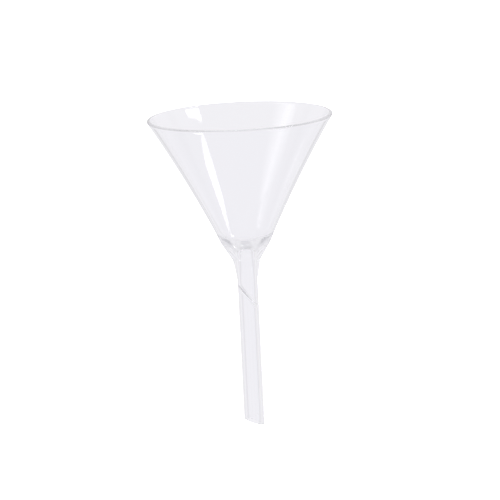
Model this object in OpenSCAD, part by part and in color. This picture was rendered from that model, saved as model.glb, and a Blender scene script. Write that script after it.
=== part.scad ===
// Glass filter funnel with a short stem, finished by hand at the flame.
// Millimetres, +Z up along the axis. The origin is on the axis, level with the shoulder where the
// bowl's cone ends, and +X is the side on which the bevelled tip is longest.

/* [Bowl] */
// Diameter over the rim
rim_d = 75; // [70:0.5:80]
// Height from the shoulder to the middle of the rim bead
bowl_h = 51.1; // [47:0.1:55]
// Thickness of the bowl's wall
wall = 1.5; // [1.2:0.1:2]
// Radius of the wall's slight outward flare
flare_r = 490; // [300:1:2000]

/* [Rim] */
// Thickness of the bead
bead_d = 1.7; // [1.5:0.1:2.6]
// How far the bead stands out past the wall's outer face
bead_proud = 0.1; // [0:0.05:0.3]
// Height of wall that belongs to the rim, below the middle of the bead
rim_h = 2.7; // [1.8:0.1:4]

/* [Foot of the bowl] */
// Outer diameter where the foot's thick glass starts
foot_top_d = 24.2; // [23.5:0.1:26]
// Outer diameter at the shoulder
foot_d = 20.1; // [19:0.1:21.5]
// Height of the foot above the shoulder
foot_h = 4.6; // [4.2:0.1:6]
// Height above the shoulder at which the floor's steeper cone starts inside
floor_h = 3.5; // [2.5:0.1:4.1]
// Inner diameter at the bottom of the floor's cone
floor_d = 8.8; // [7:0.1:10]
// Depth of the bottom of the floor's cone below the shoulder
floor_depth = 1.25; // [0.5:0.05:2]
// Depth below the shoulder at which the bore starts
mouth_depth = 3.1; // [2.4:0.1:3.6]

/* [Neck] */
// Angle between the neck's cone and the axis
neck_angle = 32; // [30:0.5:34]
// Angle between the slender taper below it and the axis
taper_angle = 10; // [8:0.5:12]
// Depth below the shoulder at which the taper runs into the stem
taper_depth = 15.1; // [13:0.1:15.4]
// Radius of the curve from the neck's cone into the taper
neck_curve = 6; // [2:0.5:8]
// Bore through the neck
neck_bore = 6.2; // [5.8:0.1:6.6]

/* [Stem] */
// Outer diameter of the stem
stem_d = 8.3; // [8:0.1:9]
// Bore of the stem
stem_bore = 5.6; // [5:0.1:6]
// Length from the shoulder down to the lowest point of the tip
stem_l = 75.8; // [60:0.1:150]
// Slope of the bevelled tip
tip_bevel = 19; // [0:1:45]

/* [Seal] */
// Depth of the middle of the seal below the shoulder
seal_depth = 22.4; // [22:0.1:30]
// Slope of the seal
seal_slope = 53; // [40:1:54]
// Thickness of the seal
seal_t = 1.2; // [0.6:0.1:2]
// Bore through the seal's inner ridge
seal_bore = 5.2; // [4.6:0.1:5.6]

/* [Hidden] */
glass = [0.89, 0.90, 0.95, 0.5];
$fn = 128;

stem_r = stem_d / 2;
big = 2 * stem_l; // more than any slanting cut of the stem needs

// Middle of the bead's round section, seen in the plane of radius and height
bead_at = [(rim_d - bead_d) / 2, bowl_h];
bead_in = bead_d / 2 - bead_proud; // how far the bead's middle lies inside the wall's outer face
rim_z = bowl_h - rim_h;

// The bowl's outer face is an arc about this point, and passes the foot's top edge and the bead
flare_at = circles_meet([foot_top_d / 2, foot_h], flare_r, bead_at, flare_r + bead_in);

// The neck's cone and taper would meet here, but for the curve between them
corner_z = (stem_r - foot_d / 2 + taper_depth * tan(taper_angle)) / (tan(neck_angle) - tan(taper_angle));
corner_at = [cone_x(corner_z), corner_z];
corner_turn = (neck_angle - taper_angle) / 2;
corner_angle = (neck_angle + taper_angle) / 2;
curve_at = corner_at + neck_curve / cos(corner_turn) * [cos(corner_angle), -sin(corner_angle)];

// Where two circles cross, on the right of the way from p to q
function circles_meet(p, p_r, q, q_r) =
    let (gap = norm(q - p), way = (q - p) / gap)
    let (along = (pow(p_r, 2) - pow(q_r, 2) + pow(gap, 2)) / (2 * gap))
    p + along * way + sqrt(pow(p_r, 2) - pow(along, 2)) * [way[1], -way[0]];

// Points along an arc, in equal steps
function arc(middle, r, from, to, steps) =
    [for (i = [0:steps]) let (a = from + (to - from) * i / steps) middle + r * [cos(a), sin(a)]];

// A point on the bowl's wall at height z, depth millimetres in from its outer face
function wall_point(z, depth) = [flare_at[0] - sqrt(pow(flare_r + depth, 2) - pow(z - flare_at[1], 2)), z];

// Points up one face of the bowl's wall
function wall_face(from, to, depth, steps) =
    [for (i = [0:steps]) wall_point(from + (to - from) * i / steps, depth)];

// Height at which the wall, depth millimetres in, comes closest to the middle of the bead
function wall_end(depth) = bowl_h + (bead_in - depth) * (flare_at[1] - bowl_h) / (flare_r + bead_in);

// Outer radius of the neck's cone at height z
function cone_x(z) = foot_d / 2 + z * tan(neck_angle);

// The bowl's wall from the height low up to one height outside and another inside
module wall_band(low, high_outside, high_inside, steps) {
    polygon(concat(
        wall_face(low, high_outside, 0, steps),
        wall_face(high_inside, low, wall, steps)
    ));
}

// The half space under a plane that slopes down towards +X and crosses the axis at height z
module below(z, slope) {
    translate([0, 0, z])
        rotate([0, slope, 0])
            translate([-big, -big, -2 * big])
                cube([2 * big, 2 * big, 2 * big]);
}

// A length of the round tube, from the height low to the height high
module tube(low, high, bore) {
    translate([0, 0, low])
        difference() {
            cylinder(h = high - low, r = stem_r);
            translate([0, 0, -1])
                cylinder(h = high - low + 2, d = bore);
        }
}

// Lip of the bowl: the fire-polished bead and the short collar of wall that it grows out of
module rim_bead() {
    color(glass)
        rotate_extrude()
            union() {
                translate(bead_at)
                    circle(d = bead_d);
                wall_band(rim_z, wall_end(0), wall_end(wall), 2);
            }
}

// The bowl's wall, an even thickness from the foot to the rim
module bowl() {
    color(glass)
        rotate_extrude()
            wall_band(foot_h, rim_z, rim_z, 10);
}

// Thick ring that closes the cone down to the bore: inside first, then the outside
module bowl_foot() {
    color(glass)
        rotate_extrude()
            polygon([
                wall_point(foot_h, wall),
                wall_point(floor_h, wall),
                [floor_d / 2, -floor_depth],
                [neck_bore / 2, -mouth_depth],
                [cone_x(-mouth_depth), -mouth_depth],
                [foot_d / 2, 0],
                [foot_top_d / 2, foot_h]
            ]);
}

// Thick-walled shoulder that narrows to the stem, cut off at a slope where the seal starts
module neck() {
    color(glass)
        difference() {
            rotate_extrude()
                polygon(concat(
                    [[neck_bore / 2, -mouth_depth], [cone_x(-mouth_depth), -mouth_depth]],
                    arc(curve_at, neck_curve, 180 - neck_angle, 180 - taper_angle, 6),
                    [[stem_r, -taper_depth], [stem_r, -seal_depth - big / 2]],
                    [[neck_bore / 2, -seal_depth - big / 2]]
                ));
            below(seal_t / 2 / cos(seal_slope) - seal_depth, seal_slope);
        }
}

// Slanting ring of fused glass between the neck and the stem, with a low ridge inside
module stem_seal() {
    color(glass)
        difference() {
            intersection() {
                tube(-seal_depth - big / 2, -seal_depth + big / 2, seal_bore);
                below(seal_t / 2 / cos(seal_slope) - seal_depth, seal_slope);
            }
            below(-seal_t / 2 / cos(seal_slope) - seal_depth, seal_slope);
        }
}

// Drawn tube, cut at a bevel so that drops leave at one point
module stem() {
    color(glass)
        difference() {
            intersection() {
                tube(-stem_l, -seal_depth + big / 2, stem_bore);
                below(-seal_t / 2 / cos(seal_slope) - seal_depth, seal_slope);
            }
            below(stem_r * tan(tip_bevel) - stem_l, tip_bevel);
        }
}

rim_bead();
bowl();
bowl_foot();
neck();
stem_seal();
stem();
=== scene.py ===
"""Glass filter funnel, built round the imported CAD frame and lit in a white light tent."""

import math

import bpy
import numpy as np
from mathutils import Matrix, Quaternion, Vector


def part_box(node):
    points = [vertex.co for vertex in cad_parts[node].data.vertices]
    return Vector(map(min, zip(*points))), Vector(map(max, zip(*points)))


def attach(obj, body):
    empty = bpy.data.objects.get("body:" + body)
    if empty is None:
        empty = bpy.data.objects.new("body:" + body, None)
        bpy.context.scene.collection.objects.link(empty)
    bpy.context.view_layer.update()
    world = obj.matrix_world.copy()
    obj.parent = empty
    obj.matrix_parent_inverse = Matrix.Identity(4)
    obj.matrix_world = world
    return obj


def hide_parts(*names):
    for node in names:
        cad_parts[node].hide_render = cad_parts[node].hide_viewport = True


MM = 0.001
BODY = "root"

# Sizes of the glass that the CAD boxes don't give
WALL = 1.5 * MM
FLARE_R = 490 * MM
BEAD_R = 0.85 * MM
FOOT_R = 10.05 * MM
FLOOR_TOP = 3.5 * MM
FLOOR_END_R, FLOOR_END_Z = 4.4 * MM, -1.25 * MM
NECK_ANGLE = math.radians(32)
TAPER_ANGLE = math.radians(10)
TAPER_Z = -15.1 * MM
TIP_BEVEL = math.radians(19)
TIP_ROUND = 0.3 * MM
SEAL_GROOVE, SEAL_RIDGE = 0.05 * MM, 0.4 * MM
SEAL_SOFT = 0.45 * MM

# How far the flame has softened each stretch, as the spread of a blur along the section
RIM_MELT = 0.3 * MM
OUTSIDE_MELT = 1.0 * MM
INSIDE_MELT = 0.8 * MM

# The glass
GLASS_COLOUR = (0.99, 0.99, 1.0)
GLASS_IOR = 1.474
RIPPLE = 0.006 * MM

# Fineness of the meshes
RING_STEPS = 192
PATH_STEP = 0.05 * MM
WALL_STEP = 0.7 * MM
FOOT_STEP = 0.25 * MM

# The camera, from the middle of the rim: a long lens a little above the mouth
CAMERA_DISTANCE = 1.6
CAMERA_ELEVATION = math.radians(8.89)
CAMERA_ROLL = math.radians(2.81)
CAMERA_LENS = 286.5
SENSOR = 36
AIM = Vector((1.57, -8.22, -1.73)) * MM

# The tent that the glass sees; the camera itself sees plain white all round. Angles in degrees
TENT = (0.906, 0.899, 0.926)
SEAM_WIDTH, SEAM_SOFT, SEAM_DEPTH, SEAM_TOP = 3, 6, 0.15, 28
# Rings round the tent that are darker: elevation, half width, softness, depth
RINGS = ((-50, 6, 8, 0.12), (50, 6, 8, 0.12), (-90, 8, 10, 0.15), (90, 8, 10, 0.15))
# Towards, tilt, (width, height), (softness across, softness along), strength
SOFT_BOXES = (
    ((-0.552, -0.085, -0.829), 51, (4.6, 4.6), (3, 1.5), 6),
    ((-0.755, -0.205, 0.625), -64.3, (3, 24), (14, 3), 1.0),
    ((-0.755, -0.205, 0.625), -64.3, (2, 24), (3, 3), 0.4),
)
# A lamp that counts only in the nearest reflections, up to this many bounces
NEAREST = 4.5
SPOT = ((0.689, -0.126, 0.715), 21.2, (13, 6), (2, 1), 9)
# The floor lies far below, out of the way of the light
FLOOR_REACH, FLOOR_Z = 30, -1.5
# Light that stays in the glass for many bounces is absorbed: by half after this many
HALVING = 280
BOUNCES = 1000
# Absorption per metre. It leaks past the fused joints, whose faces have a material of their own, so
# a floor that the glass can see turns these pieces nearly black; {} leaves it out
ABSORPTION = {"bowl_foot": 1.6, "stem_seal": 1.0}


# ---------------------------------------------------------------- the section of the glass


def inner_radius(node):
    """Radius of the narrowest place inside a CAD node."""
    return min(math.hypot(v.co.x, v.co.y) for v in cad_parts[node].data.vertices)


def line(start, end):
    """Points from start to end, PATH_STEP apart."""
    start, end = np.array(start, float), np.array(end, float)
    steps = max(2, round(np.linalg.norm(end - start) / PATH_STEP))
    return start + (end - start) * np.linspace(0, 1, steps)[:, None]


def arc(middle, radius, start, end):
    """Points along an arc, PATH_STEP apart; the angles are in radians."""
    steps = max(2, round(abs(end - start) * radius / PATH_STEP))
    angles = np.linspace(start, end, steps)
    return np.array(middle) + radius * np.column_stack((np.cos(angles), np.sin(angles)))


def melted(points, spread):
    """The path with its corners softened, as a flame softens them, and its ends kept."""
    points = np.vstack(points)
    length = np.concatenate(([0], np.cumsum(np.linalg.norm(np.diff(points, axis=0), axis=1))))
    even = np.linspace(0, length[-1], round(length[-1] / PATH_STEP))
    path = np.column_stack([np.interp(even, length, points[:, i]) for i in (0, 1)])
    reach = round(4 * spread / PATH_STEP)
    weights = np.exp(-0.5 * (np.arange(-reach, reach + 1) * PATH_STEP / spread) ** 2)
    weights /= weights.sum()
    before = 2 * path[0] - path[reach:0:-1]
    after = 2 * path[-1] - path[-2:-reach - 2:-1]
    padded = np.vstack((before, path, after))
    return np.column_stack([np.convolve(padded[:, i], weights, "valid") for i in (0, 1)])


def flare_middle(low, high):
    """Centre of the bowl's outer arc, which passes low and high and lies outside the cone."""
    low, high = np.array(low), np.array(high)
    half = (high - low) / 2
    gap = np.linalg.norm(half)
    outward = np.array((half[1], -half[0])) / gap
    return low + half + outward * math.sqrt(FLARE_R**2 - gap**2)


def wall_face(flare, radius, low, high):
    """Points down one face of the bowl's wall, from the height high to the height low."""
    top = math.pi - math.asin((high - flare[1]) / radius)
    bottom = math.pi - math.asin((low - flare[1]) / radius)
    return arc(flare, radius, top, bottom)


class Section:
    """Outer and inner radius of the glass at each height, and the path round the rim."""

    def __init__(self):
        rim_low, rim_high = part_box("rim_bead")
        bowl_low, bowl_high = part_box("bowl")
        foot_low, foot_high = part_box("bowl_foot")
        neck_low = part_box("neck")[0]
        seal_low, seal_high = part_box("stem_seal")
        stem_low, stem_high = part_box("stem")
        self.rim_joint, self.foot_joint, self.neck_joint = rim_low.z, bowl_low.z, foot_low.z
        self.stem_r, self.tip_z = stem_high.x, stem_low.z
        self.bores = {node: inner_radius(node) for node in ("neck", "stem")}
        self.seal_slope = (seal_high.z - neck_low.z) / (2 * self.stem_r)
        self.seal_top = (seal_high.z + neck_low.z) / 2
        self.seal_bottom = (stem_high.z + seal_low.z) / 2
        self.flare = flare_middle((foot_high.x, bowl_low.z), (bowl_high.x, bowl_high.z))
        self.bead = np.array((rim_high.x - BEAD_R, rim_high.z - BEAD_R))
        self.low = self.tip_z - 5 * MM
        self.outside = self.make_outside(foot_high)
        self.inside = self.make_inside()
        self.rim = self.make_rim()

    def make_outside(self, foot_high):
        """Outer face, from the rim down to below the tip."""
        narrowing, taper = math.tan(NECK_ANGLE), math.tan(TAPER_ANGLE)
        corner_z = (self.stem_r - FOOT_R - TAPER_Z * taper) / (narrowing - taper)
        corner = FOOT_R + corner_z * narrowing, corner_z
        return melted((
            wall_face(self.flare, FLARE_R, self.foot_joint, self.bead[1]),
            line((foot_high.x, self.foot_joint), (FOOT_R, 0))[1:],
            line((FOOT_R, 0), corner)[1:],
            line(corner, (self.stem_r, TAPER_Z))[1:],
            line((self.stem_r, TAPER_Z), (self.stem_r, self.low))[1:],
        ), OUTSIDE_MELT)

    def make_inside(self):
        """Inner face, from the rim down the steeper floor into the neck's bore."""
        bore = self.bores["neck"]
        wall = wall_face(self.flare, FLARE_R + WALL, FLOOR_TOP, self.bead[1])
        return melted((
            wall,
            line(wall[-1], (FLOOR_END_R, FLOOR_END_Z))[1:],
            line((FLOOR_END_R, FLOOR_END_Z), (bore, self.neck_joint))[1:],
            line((bore, self.neck_joint), (bore, self.low))[1:],
        ), INSIDE_MELT)

    def make_rim(self):
        """Path up the outer face, over the bead and down the inner face."""
        low = self.rim_joint - 6 * MM
        outer = wall_face(self.flare, FLARE_R, low, self.bead[1])[::-1]
        inner = wall_face(self.flare, FLARE_R + WALL, low, self.bead[1])
        away = lambda points: np.linalg.norm(points - self.bead, axis=1) > BEAD_R
        outer, inner = outer[away(outer)], inner[away(inner)]
        turn = [math.atan2(*(end - self.bead)[::-1]) for end in (outer[-1], inner[0])]
        if turn[1] < turn[0]:
            turn[1] += 2 * math.pi
        path = melted((outer, arc(self.bead, BEAD_R, *turn)[1:-1], inner), RIM_MELT)
        inside = path[:, 1] >= self.rim_joint
        cut = lambda side: (np.interp(self.rim_joint, side[:, 1], side[:, 0]), self.rim_joint)
        top = path[:, 1].argmax()
        ends = cut(path[:top]), cut(path[:top:-1])
        return np.vstack((ends[0], path[inside], ends[1]))

    def outer(self, z):
        return np.interp(z, self.outside[::-1, 1], self.outside[::-1, 0])

    def inner(self, z):
        return np.interp(z, self.inside[::-1, 1], self.inside[::-1, 0])


# ---------------------------------------------------------------- meshes


def turned_mesh(name, columns, cap_steps):
    """A closed mesh from one closed column of (radius, height) points for each angle.

    columns has the shape (RING_STEPS, points, 2). cap_steps are the steps of the column, counted
    from their first point, that lie in a fused joint and get the second material slot.
    """
    ring, points = columns.shape[:2]
    turn = 2 * math.pi * np.arange(ring) / ring
    x = columns[:, :, 0] * np.cos(turn)[:, None]
    y = columns[:, :, 0] * np.sin(turn)[:, None]
    vertices = np.stack((x, y, columns[:, :, 1]), axis=2).reshape(-1, 3)
    here, after = np.meshgrid(np.arange(ring), np.arange(points), indexing="ij")
    a, b = here * points + after, here * points + (after + 1) % points
    c, d = ((here + 1) % ring) * points + (after + 1) % points, ((here + 1) % ring) * points + after
    faces = np.stack((a, b, c, d), axis=2).reshape(-1, 4)
    caps = np.isin(after, list(cap_steps)).ravel()

    mesh = bpy.data.meshes.new(name)
    mesh.from_pydata(vertices.tolist(), [], faces.tolist())
    mesh.polygons.foreach_set("use_smooth", ~caps)
    mesh.polygons.foreach_set("material_index", caps.astype(int))
    mesh.update()
    sharpen_joints(mesh, caps)
    piece = bpy.data.objects.new(name, mesh)
    bpy.context.scene.collection.objects.link(piece)
    return piece


def sharpen_joints(mesh, caps):
    """Marks each edge between a fused joint's face and the glass surface as sharp."""
    sides = np.zeros((len(mesh.edges), 2), int)
    for polygon in mesh.polygons:
        for loop in polygon.loop_indices:
            sides[mesh.loops[loop].edge_index, int(caps[polygon.index])] += 1
    sharp = mesh.attributes.new("sharp_edge", "BOOLEAN", "EDGE")
    sharp.data.foreach_set("value", (sides > 0).all(axis=1))


def levels(high, low, step):
    """Heights from high down to low, about a step apart."""
    return np.linspace(high, low, max(2, round((high - low) / step) + 1))


def ring_of(loop):
    """The same closed loop of points for every angle of the ring."""
    return np.repeat(np.array(loop)[None], RING_STEPS, axis=0)


def stack_piece(name, section, high, low, step):
    """A turned piece between two level joints: down the outside, across, and up the inside."""
    down = levels(high, low, step)
    outer = np.column_stack((section.outer(down), down))
    inner = np.column_stack((section.inner(down), down))[::-1]
    count = len(down)
    return turned_mesh(name, ring_of(np.vstack((outer, inner))), (count - 1, 2 * count - 1))


def rim_piece(section):
    """The bead with the collar of wall under it, which ends in one level joint."""
    path = section.rim[::-1]
    return turned_mesh("rim_bead", ring_of(path), (len(path) - 1,))


def across_seal(section, z, x):
    """Distance of a point above the middle of the slanting seal, square to its plane."""
    middle = (section.seal_top + section.seal_bottom) / 2
    return (z + x * section.seal_slope - middle) / math.hypot(1, section.seal_slope)


def tube_outer(section, z, x):
    """Outer radius of the neck and stem, with the shallow groove of the seal."""
    across = across_seal(section, z, x)
    return section.outer(z) - SEAL_GROOVE * np.exp(-((across / SEAL_SOFT) ** 2))


def tube_inner(section, z, x):
    """Inner radius: the neck's bore, the seal's low ridge, then the stem's bore."""
    across = across_seal(section, z, x)
    bores = section.bores
    below = 0.5 - 0.5 * np.tanh(across / SEAL_SOFT)
    ridge = np.exp(-((across / SEAL_SOFT) ** 2))
    stem = bores["stem"] - bores["neck"]
    return section.inner(z) + below * stem - ridge * SEAL_RIDGE


def tube_columns(section, top, bottom, steps, melt=0):
    """Columns of a length of tube between two slanting cuts, each (height on the axis, slope)."""
    cosine = np.cos(2 * math.pi * np.arange(RING_STEPS) / RING_STEPS)[:, None]
    sides = []
    for radius_at in (tube_outer, tube_inner):
        radius = np.full((RING_STEPS, 1), section.bores["stem"])
        ends = []
        for height, slope in (top, bottom):
            for _ in range(8):
                z = height - radius * cosine * slope
                radius = radius_at(section, z, radius * cosine)
            ends.append(z)
        z = ends[0] + (ends[1] + melt - ends[0]) * steps
        for _ in range(4):
            radius = radius_at(section, z, radius * cosine)
        sides.append(np.stack((radius, z), axis=2))
    outer, inner = sides[0], sides[1][:, ::-1]
    if not melt:
        return np.concatenate((outer, inner), axis=1)
    turn = np.linspace(0, math.pi / 2, 6)[1:]
    edges = []
    for edge, inward in ((outer[:, -1:], -1), (inner[:, :1], 1)):
        radius = edge[:, :, 0] + inward * melt * (1 - np.cos(turn))
        z = bottom[0] - radius * cosine * bottom[1] + melt * (1 - np.sin(turn))
        edges.append(np.stack((radius, z), axis=2)[:, ::-inward])
    return np.concatenate((outer, *edges, inner), axis=1)


def neck_piece(section):
    """The thick-walled shoulder, from its level joint down to the slanting seal."""
    steps = np.linspace(0, 1, 120)
    columns = tube_columns(section, (section.neck_joint, 0), (section.seal_top, section.seal_slope), steps)
    return turned_mesh("neck", columns, (len(steps) - 1, 2 * len(steps) - 1))


def seal_piece(section):
    """The slanting ring between the neck and the stem."""
    steps = np.linspace(0, 1, 13)
    slope = section.seal_slope
    columns = tube_columns(section, (section.seal_top, slope), (section.seal_bottom, slope), steps)
    return turned_mesh("stem_seal", columns, (len(steps) - 1, 2 * len(steps) - 1))


def stem_piece(section):
    """The tube below the seal, with its bevelled tip rounded in the flame."""
    near = np.linspace(0, 0.06, 16)
    steps = np.concatenate((near, np.linspace(0.06, 1, 50)[1:]))
    slope = math.tan(TIP_BEVEL)
    top = (section.seal_bottom, section.seal_slope)
    columns = tube_columns(section, top, (section.tip_z + section.stem_r * slope, slope), steps, TIP_ROUND)
    return turned_mesh("stem", columns, (columns.shape[1] - 1,))


# ---------------------------------------------------------------- materials


def new_material(name):
    material = bpy.data.materials.new(name)
    material.use_nodes = True
    nodes, links = material.node_tree.nodes, material.node_tree.links
    return material, nodes, links, nodes["Principled BSDF"]


def noise(nodes, links, scale, detail=2):
    """Noise fixed to the object."""
    place, texture = nodes.new("ShaderNodeTexCoord"), nodes.new("ShaderNodeTexNoise")
    texture.inputs["Scale"].default_value = scale
    texture.inputs["Detail"].default_value = detail
    links.new(place.outputs["Object"], texture.inputs["Vector"])
    return texture.outputs["Fac"]


def glass_material(name, absorption):
    """Clear borosilicate glass with faint smudges and the flame's slight waviness."""
    material, nodes, links, shader = new_material(name)
    shader.inputs["Base Color"].default_value = (*GLASS_COLOUR, 1)
    shader.inputs["Transmission Weight"].default_value = 1
    shader.inputs["IOR"].default_value = GLASS_IOR
    spread = nodes.new("ShaderNodeMapRange")
    spread.inputs["From Min"].default_value = 0.45
    spread.inputs["From Max"].default_value = 0.8
    spread.inputs["To Min"].default_value = 0.0
    spread.inputs["To Max"].default_value = 0.06
    bump = nodes.new("ShaderNodeBump")
    bump.inputs["Strength"].default_value = 1
    bump.inputs["Distance"].default_value = RIPPLE
    links.new(noise(nodes, links, 60, 4), spread.inputs["Value"])
    links.new(spread.outputs["Result"], shader.inputs["Roughness"])
    links.new(noise(nodes, links, 120), bump.inputs["Height"])
    links.new(bump.outputs["Normal"], shader.inputs["Normal"])
    if absorption:
        depth = nodes.new("ShaderNodeVolumeAbsorption")
        depth.inputs["Color"].default_value = (0, 0, 0.1, 1)
        depth.inputs["Density"].default_value = absorption
        links.new(depth.outputs["Volume"], nodes["Material Output"].inputs["Volume"])
    return material


def joint_material():
    """The inside of a fused joint, where glass runs into glass and nothing shows."""
    material, _, _, shader = new_material("fused_joint")
    shader.inputs["Alpha"].default_value = 0
    return material


# ---------------------------------------------------------------- the studio


def add_camera():
    """Looks down on the mouth from the front, tipped by the photographer's slight roll."""
    rim = Vector((0, 0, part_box("rim_bead")[1].z))
    back = Vector((0, -math.cos(CAMERA_ELEVATION), math.sin(CAMERA_ELEVATION)))
    camera = bpy.data.objects.new("camera", bpy.data.cameras.new("camera"))
    bpy.context.scene.collection.objects.link(camera)
    camera.data.lens = CAMERA_LENS
    camera.data.sensor_width = SENSOR
    camera.location = rim + back * CAMERA_DISTANCE
    ahead = (AIM - camera.location).normalized()
    camera.rotation_mode = "QUATERNION"
    camera.rotation_quaternion = ahead.to_track_quat("-Z", "Y") @ Quaternion((0, 0, 1), -CAMERA_ROLL)
    bpy.context.scene.camera = camera


class Sums:
    """Short calls that add the nodes of a sum to a tree."""

    def __init__(self, tree):
        self.nodes, self.links = tree.nodes, tree.links

    def put(self, socket, value):
        if isinstance(value, bpy.types.NodeSocket):
            self.links.new(value, socket)
        else:
            socket.default_value = value

    def math(self, operation, *values):
        node = self.nodes.new("ShaderNodeMath")
        node.operation = operation
        for socket, value in zip(node.inputs, values):
            self.put(socket, value)
        return node.outputs[0]

    def dot(self, vector, constant):
        node = self.nodes.new("ShaderNodeVectorMath")
        node.operation = "DOT_PRODUCT"
        self.put(node.inputs[0], vector)
        self.put(node.inputs[1], tuple(constant))
        return node.outputs["Value"]

    def within(self, value, limit, softness):
        """1 where the value is less than the limit, falling to 0 over the softness beyond it."""
        node = self.nodes.new("ShaderNodeMapRange")
        node.interpolation_type = "SMOOTHSTEP"
        for socket, number in zip(node.inputs, (value, limit, limit + softness, 1, 0)):
            self.put(socket, number)
        return node.outputs["Result"]


def soft_box(sums, ray, towards, tilt, size, softness, strength):
    """Brightness of a lit box, turned by its tilt about the way towards it; angles in degrees."""
    ahead = Vector(towards).normalized()
    level = ahead.cross(Vector((0, 0, 1))).normalized()
    upright = level.cross(ahead)
    turn = math.radians(tilt)
    cosine, sine = math.cos(turn), math.sin(turn)
    axes = level * cosine + upright * sine, upright * cosine - level * sine
    forward = sums.dot(ray, ahead)
    lit = sums.math("GREATER_THAN", forward, 0.2)
    for axis, angle, soft in zip(axes, size, softness):
        offset = sums.math("ABSOLUTE", sums.math("ARCTAN2", sums.dot(ray, axis), forward))
        lit = sums.math("MULTIPLY", lit, sums.within(offset, math.radians(angle / 2), math.radians(soft)))
    return sums.math("MULTIPLY", lit, strength)


def add_world():
    """White for the camera; for the glass, a tent with soft boxes and gaps between its panels."""
    world = bpy.data.worlds.new("tent")
    bpy.context.scene.world = world
    world.use_nodes = True
    world.cycles.sampling_method = "NONE"
    nodes, links = world.node_tree.nodes, world.node_tree.links
    sums = Sums(world.node_tree)
    ray = nodes.new("ShaderNodeTexCoord").outputs["Generated"]
    across, along, up = (sums.dot(ray, axis) for axis in ((1, 0, 0), (0, 1, 0), (0, 0, 1)))
    azimuth = sums.math("ARCTAN2", along, across)
    elevation = sums.math("ARCSINE", up)

    # Seams between upright panels, then the darker rings
    from_seam = sums.math("SUBTRACT", math.radians(22.5), sums.math("PINGPONG", azimuth, math.radians(22.5)))
    seam = sums.within(from_seam, math.radians(SEAM_WIDTH), math.radians(SEAM_SOFT))
    height = sums.within(sums.math("ABSOLUTE", elevation), math.radians(SEAM_TOP), math.radians(8))
    seam = sums.math("MULTIPLY", seam, height)
    panels = sums.math("SUBTRACT", 1, sums.math("MULTIPLY", seam, SEAM_DEPTH))
    for ring, width, soft, depth in RINGS:
        from_ring = sums.math("ABSOLUTE", sums.math("SUBTRACT", elevation, math.radians(ring)))
        dark = sums.math("MULTIPLY", sums.within(from_ring, math.radians(width), math.radians(soft)), depth)
        panels = sums.math("MULTIPLY", panels, sums.math("SUBTRACT", 1, dark))
    path = nodes.new("ShaderNodeLightPath")
    kept = sums.math("POWER", 0.5, sums.math("DIVIDE", path.outputs["Ray Depth"], HALVING))
    panels = sums.math("MULTIPLY", panels, kept)

    glow = 0
    for box in SOFT_BOXES:
        glow = sums.math("ADD", glow, soft_box(sums, ray, *box))
    near = sums.math("LESS_THAN", path.outputs["Ray Depth"], NEAREST)
    spot = sums.math("MULTIPLY", soft_box(sums, ray, *SPOT), near)
    glow = sums.math("MULTIPLY", sums.math("ADD", glow, spot), kept)

    tent, lamps = nodes.new("ShaderNodeBackground"), nodes.new("ShaderNodeBackground")
    seen = nodes["Background"]
    tent.inputs["Color"].default_value = (*TENT, 1)
    links.new(panels, tent.inputs["Strength"])
    lamps.inputs["Color"].default_value = (1, 1, 1, 1)
    links.new(glow, lamps.inputs["Strength"])
    seen.inputs["Color"].default_value = (1, 1, 1, 1)
    both, mix = nodes.new("ShaderNodeAddShader"), nodes.new("ShaderNodeMixShader")
    links.new(tent.outputs[0], both.inputs[0])
    links.new(lamps.outputs[0], both.inputs[1])
    links.new(path.outputs["Is Camera Ray"], mix.inputs[0])
    links.new(both.outputs[0], mix.inputs[1])
    links.new(seen.outputs[0], mix.inputs[2])
    links.new(mix.outputs[0], nodes["World Output"].inputs["Surface"])


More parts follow.
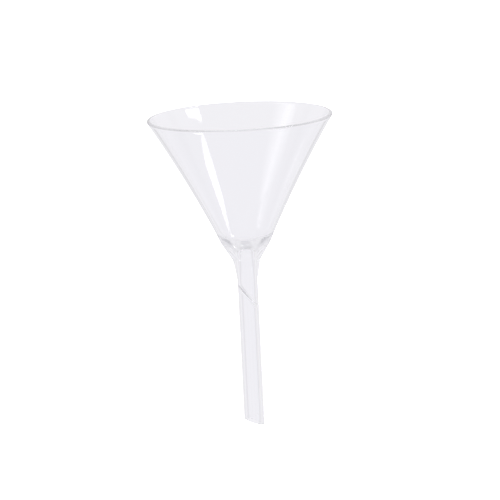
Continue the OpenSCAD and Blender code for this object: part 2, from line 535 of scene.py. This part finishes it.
def add_floor():
    """Plain white floor that only the camera sees; the glass looks past it at the tent."""
    mesh = bpy.data.meshes.new("floor")
    corners = [(x * FLOOR_REACH, y * FLOOR_REACH, FLOOR_Z) for x, y in ((-1, -1), (1, -1), (1, 1), (-1, 1))]
    mesh.from_pydata(corners, [], [(0, 1, 2, 3)])
    floor = bpy.data.objects.new("floor", mesh)
    bpy.context.scene.collection.objects.link(floor)
    floor.visible_diffuse = floor.visible_glossy = floor.visible_transmission = floor.visible_shadow = False
    material, nodes, links, shader = new_material("pale_floor")
    tone = nodes.new("ShaderNodeMapRange")
    tone.inputs["To Min"].default_value = 0.98
    tone.inputs["To Max"].default_value = 1.0
    links.new(noise(nodes, links, 3), tone.inputs["Value"])
    links.new(tone.outputs["Result"], shader.inputs["Emission Strength"])
    shader.inputs["Emission Color"].default_value = (1, 1, 1, 1)
    shader.inputs["Base Color"].default_value = (0.9, 0.9, 0.9, 1)
    mesh.materials.append(material)


# ---------------------------------------------------------------- the scene

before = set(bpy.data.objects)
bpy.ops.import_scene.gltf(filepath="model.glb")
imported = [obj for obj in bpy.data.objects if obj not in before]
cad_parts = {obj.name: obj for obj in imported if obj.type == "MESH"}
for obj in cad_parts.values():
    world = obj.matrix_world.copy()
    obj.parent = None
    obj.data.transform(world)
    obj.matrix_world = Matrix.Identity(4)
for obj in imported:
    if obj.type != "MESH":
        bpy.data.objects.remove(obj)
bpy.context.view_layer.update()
add_camera()
add_world()
add_floor()

section = Section()
joint = joint_material()
pieces = {
    "rim_glass": (rim_piece(section), "rim_bead"),
    "bowl_glass": (stack_piece("bowl", section, section.rim_joint, section.foot_joint, WALL_STEP), "bowl"),
    "foot_glass": (stack_piece("bowl_foot", section, section.foot_joint, section.neck_joint, FOOT_STEP),
                   "bowl_foot"),
    "neck_glass": (neck_piece(section), "neck"),
    "seal_glass": (seal_piece(section), "stem_seal"),
    "stem_glass": (stem_piece(section), "stem"),
}
for slot, (piece, node) in pieces.items():
    piece.name = "glass_" + node
    piece.data.materials.append(glass_material(slot, ABSORPTION.get(node, 0)))
    piece.data.materials.append(joint)
    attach(piece, BODY)
    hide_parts(node)

bpy.context.scene.view_settings.view_transform = "Standard"
tracer = bpy.context.scene.cycles
tracer.max_bounces = tracer.transmission_bounces = tracer.glossy_bounces = BOUNCES
tracer.transparent_max_bounces = BOUNCES
